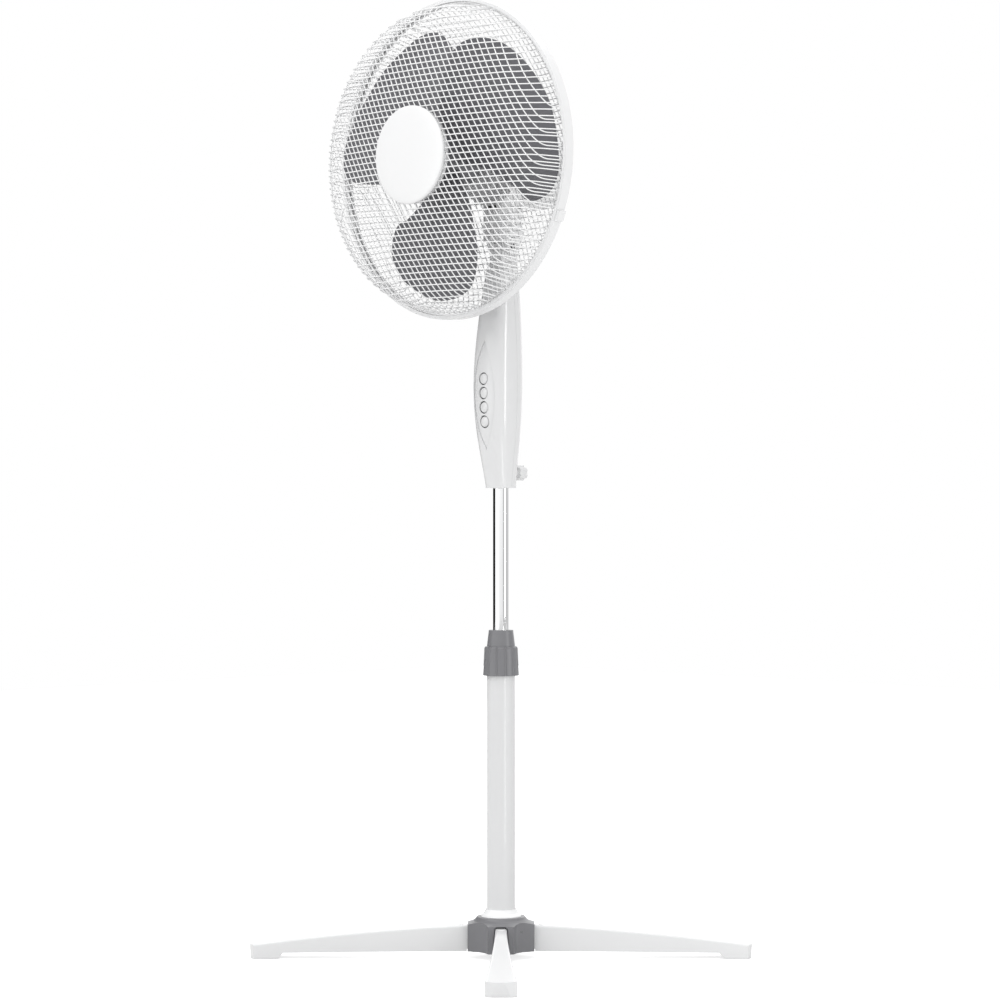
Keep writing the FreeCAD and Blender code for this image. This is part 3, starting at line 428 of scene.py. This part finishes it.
def wire_tail(layer, direction, offset, side, last):
    """Curved end of a wire, from its straight part to the rim at the angle last."""
    _, start, lean, slope = bend(layer, offset)
    length = min(BEND_LENGTH, 0.75 * (layer.along[-1] - start))
    first = math.radians(direction) + (lean if side > 0 else math.pi - lean)
    t = np.linspace(0.0, 1.0, 13)
    angle = (first * (2 * t ** 3 - 3 * t ** 2 + 1) - side * slope * length * (t ** 3 - 2 * t ** 2 + t)
             + last * (3 * t ** 2 - 2 * t ** 3))
    rest = np.linspace(start + length, layer.along[-1], 6)[1:]
    along = np.concatenate([start + length * t, rest])
    return layer.place(along, np.concatenate([angle, np.full(len(rest), last)]))


def wire_run(layer, direction, offset, a, b):
    """Straight part of a wire, from a to b along its direction."""
    cosine, sine = math.cos(math.radians(direction)), math.sin(math.radians(direction))
    t = np.linspace(a, b, max(4, int(abs(b - a) / 9)))
    x = t * cosine - offset * sine
    z = t * sine + offset * cosine
    return layer.place(layer.at_radius(np.hypot(x, z)), np.arctan2(z, x))


def mesh_wires(layers, hole=0.0):
    """Paths of all the wires of a guard; hole is the radius left free in the middle."""
    paths = []
    ends = wire_ends(layers[0])
    for f, (layer, direction) in enumerate(zip(layers, FAMILIES)):
        for k in range(WIRES):
            offset = wire_offset(k)
            half = math.sqrt(bend(layer, offset)[0] ** 2 - offset ** 2)
            inner = math.sqrt(max(hole ** 2 - offset ** 2, 0.0))
            right, left = (wire_tail(layer, direction, offset, side, ends[f, k, side]) for side in (1, -1))
            if inner > 0:
                for reach, tail in ((1, right), (-1, left)):
                    run = wire_run(layer, direction, offset, reach * inner, reach * half)
                    paths.append(np.concatenate([run[:-1], tail]))
            else:
                run = wire_run(layer, direction, offset, -half, half)
                paths.append(np.concatenate([left[:0:-1], run[:-1], right]))
    return paths


def circle(r, d, count=160):
    return in_place(r, np.full(count, d), np.arange(count) * 2 * math.pi / count)


def guard(name, dish, outward, rim, plate, finish, hole=0.0):
    """One guard: its wires with their rim wire, and the plate in its middle."""
    layers = [Dish(dish, outward * sink) for sink in LAYER_SINKS]
    wires = wire_mesh(mesh_wires(layers, hole), WIRE)
    rims = wire_mesh([circle(RIM_RADIUS, rim)], RIM_WIRE, 8, True)
    add_piece(name + "_wires", *join(wires, rims), "white_enamel", "head", [name], material=finish)
    add_piece(name + "_plate", *lathe_mesh(in_metres(plate)), "white_trim", "head")


def guards():
    # The wires take a lighter copy of the enamel: painted light on their shaded sides.
    finish = finish_material("wire_enamel_painted_light", **WIRE_PAINTED_LIGHT_FINISH)
    guard("front_guard", FRONT_DISH, 1, FRONT_RIM, FRONT_PLATE, finish)
    guard("rear_guard", REAR_DISH, -1, REAR_RIM, REAR_PLATE, finish, REAR_HOLE)


# ---- impeller ------------------------------------------------------------
# Outline of a blade: (radius in millimetres, degrees from the blade's centre angle).
BLADE_OUTLINE = [(31.5, -36), (48.1, -33.2), (67.3, -32.6), (111.8, -38.7), (136.2, -43.1),
                 (156.5, -40.0), (174.7, -32.9), (181.3, -22.0), (182.5, -2.1), (181.4, 13.2),
                 (179.8, 27.0), (174.3, 36.8), (159.3, 46.1), (139.6, 52.2), (110.3, 57.3),
                 (86.0, 61.5), (65.0, 66.0), (47.0, 70.0), (31.5, 73.0)]
BLADE_CENTRES = (17.3, 137.3, 257.3)
BLADE_RADIUS = 185.0
BLADE_SPREAD = math.radians(49)
BLADE_MIDDLE = 96.1          # front distance of a blade's root on its centre angle, mm
BLADE_HALF = 1.2             # half a blade's thickness, mm
BLADE_HEART = (112.0, 4.0)   # radius and angle the blade's rows of points shrink to
BLADE_INSETS = (0.12, 0.4, 0.8, 1.2, 1.8)                    # mm from the edge, round its nose
BLADE_SHARES = (0.94, 0.86, 0.75, 0.62, 0.48, 0.34, 0.2, 0.08)   # then shares of the outline
HUB_BACK = 66.0
HUB_OUTER = 33.0
HUB_INNER = 30.5
HUB_BORE = 4.1
HUB_FACE = 3.0               # thickness of the hub's front wall, mm


def blade_depth(r, angle):
    """Front distance of the cupped, twisted surface that a blade lies on."""
    reach = r / BLADE_RADIUS
    side = angle / BLADE_SPREAD
    cup = (17.55 * (side ** 2 - 1) + 12.0 * (side ** 3 - side)) * reach ** 2
    sag = 8.54 * (side ** 2 - 1) * (1 - reach) * reach
    return BLADE_MIDDLE + 7.88 * reach + 29.8 * angle + 42.0 * angle * (reach - 0.7) + cup - sag


def on_plane(r, degrees):
    return r * math.cos(math.radians(degrees)), r * math.sin(math.radians(degrees))


def blade_rim():
    """Outline of a blade as points on the plane, closed by an arc along its root."""
    rim = spline([on_plane(r, a) for r, a in BLADE_OUTLINE], 14)
    (r, a), (_, b) = BLADE_OUTLINE[0], BLADE_OUTLINE[-1]
    return np.concatenate([rim, [on_plane(r, t) for t in np.linspace(b, a, 20)[1:-1]]])


def blade_mesh(centre):
    """One petal: rows of points shrinking to its heart, front and back, joined round the rim."""
    rim = blade_rim()
    heart = np.array(on_plane(*BLADE_HEART))
    reach = np.linalg.norm(rim - heart, axis=1)
    count = len(rim)
    rows = []
    for inset in BLADE_INSETS:
        edge = min(inset / BLADE_HALF, 1.0)
        rows.append(((1 - inset / reach)[:, None], BLADE_HALF * math.sqrt(1 - (1 - edge) ** 2)))
    for share in BLADE_SHARES:
        rows.append((share, BLADE_HALF))
    turn = math.radians(centre)
    points, faces = [], []

    def put(flat_points, lift):
        for x, z in flat_points:
            angle = math.atan2(z, x)
            r = math.hypot(x, z)
            d = blade_depth(r, angle) + lift
            points.append((r * math.cos(angle + turn) * MM, -d * MM,
                           AXIS_Z + r * math.sin(angle + turn) * MM))

    put(rim, 0.0)
    for side in (1, -1):
        before = 0
        for share, lift in rows:
            start = len(points)
            put(heart + (rim - heart) * share, side * lift)
            for k in range(count):
                m = (k + 1) % count
                faces.append((before + k, before + m, start + m, start + k)[::side])
            before = start
        put([heart], side * BLADE_HALF)
        for k in range(count):
            faces.append((before + k, before + (k + 1) % count, len(points) - 1)[::side])
    return points, faces


def impeller():
    nose = front("impeller") / MM
    wall = [(HUB_OUTER, HUB_BACK), (HUB_OUTER, nose), (HUB_BORE, nose), (HUB_BORE, nose - HUB_FACE),
            (HUB_INNER, nose - HUB_FACE), (HUB_INNER, HUB_BACK)]
    hub = lathe_mesh(in_metres(rounded(wall, 2.2)))
    parts = [hub] + [blade_mesh(c) for c in BLADE_CENTRES]
    add_piece("impeller_blades", *join(*parts), "blade_plastic", "rotor", ["impeller"])


# ---- cap -----------------------------------------------------------------
def cap():
    """Softly domed disc with a rolled edge and a shallow recess behind."""
    r, f, b = radius("front_cap") / MM, front("front_cap") / MM, back("front_cap") / MM
    face = [(0, f), (15, f - 0.05), (30, f - 0.2), (45, f - 0.5), (r - 4.5, f - 0.95),
            (r - 2.2, f - 1.2), (r - 0.9, f - 1.6), (r - 0.25, f - 2.2), (r, f - 3.0), (r, b + 0.6),
            (r - 0.6, b), (r - 3, b), (r - 3, b + 2), (0, b + 2)]
    points, faces = lathe_mesh(in_metres(face), 160)
    # A lighter copy of the trim finish: painted light on the cap.
    finish = finish_material("cap_gloss_painted_light", **CAP_PAINTED_LIGHT_FINISH)
    add_piece("cap_dome", points, faces, "white_trim", "head", ["front_cap"], material=finish)


# ---- buttons -------------------------------------------------------------
def buttons():
    """Domed push buttons, each ringed in black in the panel's gap: painted shade of the gap round each
    button.
    """
    shade_rings = []
    for key in ("off", "low", "medium", "high"):
        cad = "button_" + key
        f, b, z = front(cad) / MM, back(cad) / MM, middle(cad).z
        dome = [(0, f), (2.4, f - 0.06), (4.4, f - 0.28), (5.8, f - 0.7), (6.6, f - 1.3), (7.0, f - 2.1),
                (7.1, f - 3.2), (7.1, f - 6.6), (6.7, f - 7), (2.4, f - 7), (2.4, b), (0, b)]
        add_piece(cad + "_dome", *lathe_mesh(in_metres(dome), 64, z), SLOT_OF[cad], key + "_key", [cad],
                  material=MATERIALS["white_shell"])
        # Black ring in the gap round each button: painted shade where the gap falls dark.
        ring = [(7.3, f - 2.4), (8.1, f - 2.4), (8.1, f - 3.6), (7.3, f - 3.6)]
        shade_rings.append(lathe_mesh(in_metres(ring), 64, z))
    add_piece("button_shade_rings", *join(*shade_rings), "black_plastic", "column", smooth=False)


# ---- pole ----------------------------------------------------------------
POLE_WALL = 0.001            # m
POLE_EDGE = 0.0003           # m, rounding of its ends


def pole():
    """Chrome pole as a smooth open tube, its ends slightly rounded."""
    low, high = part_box("inner_pole")
    outer = radius("inner_pole")
    inner = outer - POLE_WALL
    profile = rounded([(outer, low.z), (outer, high.z), (inner, high.z), (inner, low.z)], POLE_EDGE)
    points, faces = lathe_mesh([(r, -z) for r, z in profile], 128, height=0.0)
    points = [(x, -z, y) for x, y, z in points]
    add_piece("pole_tube", points, faces, SLOT_OF["inner_pole"], "pole_slider", ["inner_pole"])


# ---- studio --------------------------------------------------------------
CAMERA_AZIMUTH = math.radians(45)    # from the front towards +X
CAMERA_DISTANCE = 3.979
CAMERA_HEIGHT = 0.5974
VIEW = Vector((math.sin(CAMERA_AZIMUTH), -math.cos(CAMERA_AZIMUTH), 0.0))
LEFT = Vector((-math.cos(CAMERA_AZIMUTH), -math.sin(CAMERA_AZIMUTH), 0.0))
# Brightness of the surroundings by angle, degrees to the left of the camera.
SOFT_BOX = [(-180, 1.0), (-135, 0.85), (-118, 0.55), (-60, 0.55), (-34, 0.5), (-22, 0.85),
            (20, 0.92), (55, 1.2), (85, 1.25)]
SOFT_BACK = [(135, 0.85), (180, 1.0)]
DARK_CARD = [(91, 0.02), (160, 0.02), (168, 1.0), (180, 1.0)]
REFLECTED_GAIN = 1.1         # of the soft box where it shows in reflections
HORIZON = 0.98               # brightness of the surroundings at the horizon and overhead
ZENITH = 1.7
FLOOR_HALF = 5.0             # m, half the floor's side
FLOOR_GLOW = 0.72            # light that the floor gives to the camera only
FLOOR_TONES = (0.6, 0.62)
# Sockets of a Mix node that mixes colours.
MIX_FACTOR, MIX_A, MIX_B, MIX_RESULT = 0, 6, 7, 2


def camera():
    """Level camera, looking at the pole from the right of the front."""
    data = bpy.data.cameras.new("camera")
    made = bpy.data.objects.new("camera", data)
    bpy.context.scene.collection.objects.link(made)
    made.location = VIEW * CAMERA_DISTANCE + Vector((0, 0, CAMERA_HEIGHT))
    made.rotation_euler = (math.radians(90), 0, CAMERA_AZIMUTH)
    data.sensor_width = 36
    data.lens = 109.6
    data.shift_x = -0.001
    data.clip_end = 60
    data.dof.use_dof = False
    bpy.context.scene.camera = made


def area_light(name, azimuth, distance, height, wide, tall, radiance, target):
    """Rectangular light at an azimuth from the front towards +X, turned to a height on the pole."""
    data = bpy.data.lights.new(name, "AREA")
    data.shape = "RECTANGLE"
    data.size = wide
    data.size_y = tall
    data.energy = radiance * math.pi * wide * tall
    made = bpy.data.objects.new(name, data)
    bpy.context.scene.collection.objects.link(made)
    a = math.radians(azimuth)
    made.location = (distance * math.sin(a), -distance * math.cos(a), height)
    aim = Vector((0, 0, target)) - made.location
    made.rotation_euler = aim.to_track_quat("-Z", "Y").to_euler()
    made.visible_camera = False


def world():
    """White to the camera; a soft box with darker stretches to everything else."""
    made = bpy.data.worlds.new("studio")
    bpy.context.scene.world = made
    made.use_nodes = True
    tree = made.node_tree
    tree.nodes.clear()
    direction = node(tree, "ShaderNodeTexCoord").outputs["Generated"]

    def along(vector):
        dot = node(tree, "ShaderNodeVectorMath", operation="DOT_PRODUCT")
        tree.links.new(direction, dot.inputs[0])
        dot.inputs[1].default_value = vector
        return dot.outputs["Value"]

    angle = node(tree, "ShaderNodeMath", operation="ARCTAN2")
    tree.links.new(along(LEFT), angle.inputs[0])
    tree.links.new(along(VIEW), angle.inputs[1])
    turn = node(tree, "ShaderNodeMapRange")
    turn.inputs["From Min"].default_value = -math.pi
    turn.inputs["From Max"].default_value = math.pi
    tree.links.new(angle.outputs["Value"], turn.inputs["Value"])

    def stops(pairs):
        return [((a + 180) / 360, (v, v, v)) for a, v in pairs]

    # The dark card on the left shows only in reflections, as the pole's black line.
    gained = [(a, REFLECTED_GAIN * v) for a, v in SOFT_BOX]
    reflected = ramp(tree, turn.outputs["Result"], stops(gained + DARK_CARD))
    diffuse = ramp(tree, turn.outputs["Result"], stops(SOFT_BOX + SOFT_BACK))
    around = node(tree, "ShaderNodeMix", data_type="RGBA")
    tree.links.new(node(tree, "ShaderNodeLightPath").outputs["Is Glossy Ray"], around.inputs[MIX_FACTOR])
    tree.links.new(diffuse, around.inputs[MIX_A])
    tree.links.new(reflected, around.inputs[MIX_B])
    rise = node(tree, "ShaderNodeMapRange")
    rise.inputs["To Min"].default_value = HORIZON
    rise.inputs["To Max"].default_value = ZENITH
    tree.links.new(along((0, 0, 1)), rise.inputs["Value"])
    lit = node(tree, "ShaderNodeBackground")
    tree.links.new(around.outputs[MIX_RESULT], lit.inputs["Color"])
    tree.links.new(rise.outputs["Result"], lit.inputs["Strength"])
    seen = node(tree, "ShaderNodeBackground")
    seen.inputs["Color"].default_value = (1, 1, 1, 1)
    choose = node(tree, "ShaderNodeMixShader")
    tree.links.new(node(tree, "ShaderNodeLightPath").outputs["Is Camera Ray"], choose.inputs["Fac"])
    tree.links.new(lit.outputs["Background"], choose.inputs[1])
    tree.links.new(seen.outputs["Background"], choose.inputs[2])
    out = node(tree, "ShaderNodeOutputWorld")
    tree.links.new(choose.outputs["Shader"], out.inputs["Surface"])


def floor():
    """Pale paper with a glow that only the camera sees, so it reads white."""
    size = FLOOR_HALF
    points = [(-size, -size, 0), (size, -size, 0), (size, size, 0), (-size, size, 0)]
    mesh = bpy.data.meshes.new("floor")
    mesh.from_pydata(points, [], [(0, 1, 2, 3)])
    made = bpy.data.objects.new("floor", mesh)
    bpy.context.scene.collection.objects.link(made)
    paper = bpy.data.materials.new("floor_paper")
    paper.use_nodes = True
    tree = paper.node_tree
    shader = tree.nodes["Principled BSDF"]
    shader.inputs["Roughness"].default_value = 0.9
    shader.inputs["Specular IOR Level"].default_value = 0.1
    shader.inputs["Emission Color"].default_value = (1, 1, 1, 1)
    glow = node(tree, "ShaderNodeMapRange")
    glow.inputs["To Min"].default_value = 0.0
    glow.inputs["To Max"].default_value = FLOOR_GLOW
    tree.links.new(node(tree, "ShaderNodeLightPath").outputs["Is Camera Ray"], glow.inputs["Value"])
    tree.links.new(glow.outputs["Result"], shader.inputs["Emission Strength"])
    place = node(tree, "ShaderNodeTexCoord").outputs["Object"]
    dark, light = FLOOR_TONES
    tone = ramp(tree, noise(tree, place, 3.0), [(0.3, (dark,) * 3), (0.7, (light,) * 3)])
    tree.links.new(tone, shader.inputs["Base Color"])
    made.data.materials.append(paper)


def finish_cad_nodes():
    """Every carried-over node gets its slot's finish; the button panel gets the shell's."""
    for name, part in frame["nodes"].items():
        slot = SLOT_OF[name]
        part.data.materials.clear()
        part.data.materials.append(MATERIALS["white_shell" if name == "button_panel" else slot])


finish_cad_nodes()
guards()
impeller()
cap()
buttons()
pole()
floor()
camera()
world()
area_light("key", azimuth=105, distance=3.0, height=1.0, wide=0.25, tall=1.5, radiance=12.0,
           target=0.65)
area_light("tube_strip", azimuth=79, distance=1.2, height=0.175, wide=0.11, tall=0.31, radiance=9.0,
           target=0.175)
bpy.context.scene.view_settings.view_transform = "Standard"
